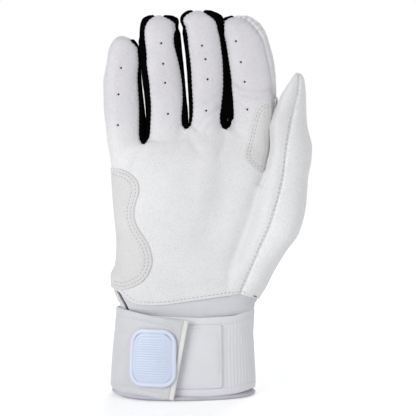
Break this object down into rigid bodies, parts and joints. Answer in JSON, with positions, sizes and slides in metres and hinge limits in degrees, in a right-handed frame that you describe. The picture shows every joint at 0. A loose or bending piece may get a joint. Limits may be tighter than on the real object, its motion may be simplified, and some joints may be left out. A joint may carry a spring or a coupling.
{
  "type": "batting glove",
  "caption": "Leather batting glove filled out as on a hand, with bending fingers and thumb, a hollow inside and a strap that closes the cuff.",
  "frame": {"origin": "centre of the glove's outline on the plane that the open cuff stands on", "axes": "+Z from the cuff to the fingertips, palm facing -Y, thumb towards +X"},
  "size_m": [0.1314, 0.0502, 0.2433],
  "materials": {
    "palm_leather": "fine grain",
    "back_leather": "fine grain",
    "patch_leather": "fine grain",
    "side_knit": "matte knit",
    "cuff_band": "satin",
    "cuff_lining": "matte knit",
    "strap": "satin",
    "strap_trim": "satin",
    "fastener": "matte pile",
    "pull_rubber": "satin"
  },
  "bodies": {
    "hand": {"palm_leather": "palm_leather", "thumb_side_panel": "back_leather", "back_leather": "back_leather", "heel_patch": "patch_leather", "crotch_patch": "palm_leather", "cuff_lining": "cuff_lining", "cuff_band": "cuff_band", "slit_gusset": "cuff_lining", "wrist_panel": "cuff_band", "wrist_back_panel": "back_leather", "strap_back": "strap", "loop_panel": "fastener"},
    "tab": {"strap_tab": "strap", "tab_end_binding": "strap_trim", "hook_pad": "fastener", "pull_patch_rim": "strap_trim", "pull_patch": "pull_rubber"},
    "little_lower": {"little_lower_front": "palm_leather", "little_lower_back": "back_leather", "little_lower_fourchette": "side_knit"},
    "little_upper": {"little_upper_front": "palm_leather", "little_upper_back": "back_leather", "little_upper_fourchette": "side_knit"},
    "ring_lower": {"ring_lower_front": "palm_leather", "ring_lower_back": "back_leather", "ring_lower_fourchette_left": "side_knit", "ring_lower_fourchette_right": "side_knit"},
    "ring_upper": {"ring_upper_front": "palm_leather", "ring_upper_back": "back_leather", "ring_upper_fourchette_left": "side_knit", "ring_upper_fourchette_right": "side_knit"},
    "middle_lower": {"middle_lower_front": "palm_leather", "middle_lower_back": "back_leather", "middle_lower_fourchette_left": "side_knit", "middle_lower_fourchette_right": "side_knit"},
    "middle_upper": {"middle_upper_front": "palm_leather", "middle_upper_back": "back_leather", "middle_upper_fourchette_left": "side_knit", "middle_upper_fourchette_right": "side_knit"},
    "index_lower": {"index_lower_front": "palm_leather", "index_lower_back": "back_leather", "index_lower_fourchette": "side_knit", "crotch_patch_wing": "palm_leather"},
    "index_upper": {"index_upper_front": "palm_leather", "index_upper_back": "back_leather", "index_upper_fourchette": "side_knit"},
    "thumb_lower": {"thumb_lower_front": "palm_leather", "thumb_lower_back": "back_leather"},
    "thumb_upper": {"thumb_upper_front": "palm_leather", "thumb_upper_back": "back_leather"}
  },
  "joints": [
    {"name": "little_knuckle", "type": "hinge", "parent": "hand", "child": "little_lower", "pos_m": [-0.0525, -0.0104, 0.1628], "axis": [1, 0, 0], "range_deg": [0, 90]},
    {"name": "little_middle_bend", "type": "hinge", "parent": "little_lower", "child": "little_upper", "pos_m": [-0.054, -0.0103, 0.1968], "axis": [1, 0, 0], "range_deg": [0, 95]},
    {"name": "ring_knuckle", "type": "hinge", "parent": "hand", "child": "ring_lower", "pos_m": [-0.0256, -0.0119, 0.1698], "axis": [1, 0, 0], "range_deg": [0, 90]},
    {"name": "ring_middle_bend", "type": "hinge", "parent": "ring_lower", "child": "ring_upper", "pos_m": [-0.0282, -0.0108, 0.2078], "axis": [1, 0, 0], "range_deg": [0, 95]},
    {"name": "middle_knuckle", "type": "hinge", "parent": "hand", "child": "middle_lower", "pos_m": [0, -0.0119, 0.1698], "axis": [1, 0, 0], "range_deg": [0, 90]},
    {"name": "middle_middle_bend", "type": "hinge", "parent": "middle_lower", "child": "middle_upper", "pos_m": [-0.0014, -0.0108, 0.2078], "axis": [1, 0, 0], "range_deg": [0, 95]},
    {"name": "index_knuckle", "type": "hinge", "parent": "hand", "child": "index_lower", "pos_m": [0.0277, -0.0119, 0.1698], "axis": [1, 0, 0], "range_deg": [0, 90]},
    {"name": "index_middle_bend", "type": "hinge", "parent": "index_lower", "child": "index_upper", "pos_m": [0.0266, -0.0108, 0.2078], "axis": [1, 0, 0], "range_deg": [0, 95]},
    {"name": "thumb_base_bend", "type": "hinge", "parent": "hand", "child": "thumb_lower", "pos_m": [0.0503, -0.0208, 0.1358], "axis": [1, 0, 0], "range_deg": [0, 55]},
    {"name": "thumb_tip_bend", "type": "hinge", "parent": "thumb_lower", "child": "thumb_upper", "pos_m": [0.0528, -0.0164, 0.1693], "axis": [1, 0, 0], "range_deg": [0, 80]},
    {"name": "tab_peel", "type": "hinge", "parent": "hand", "child": "tab", "pos_m": [-0.0624, 0.002, 0.0272], "axis": [0, 0, -1], "range_deg": [0, 150]}
  ]
}
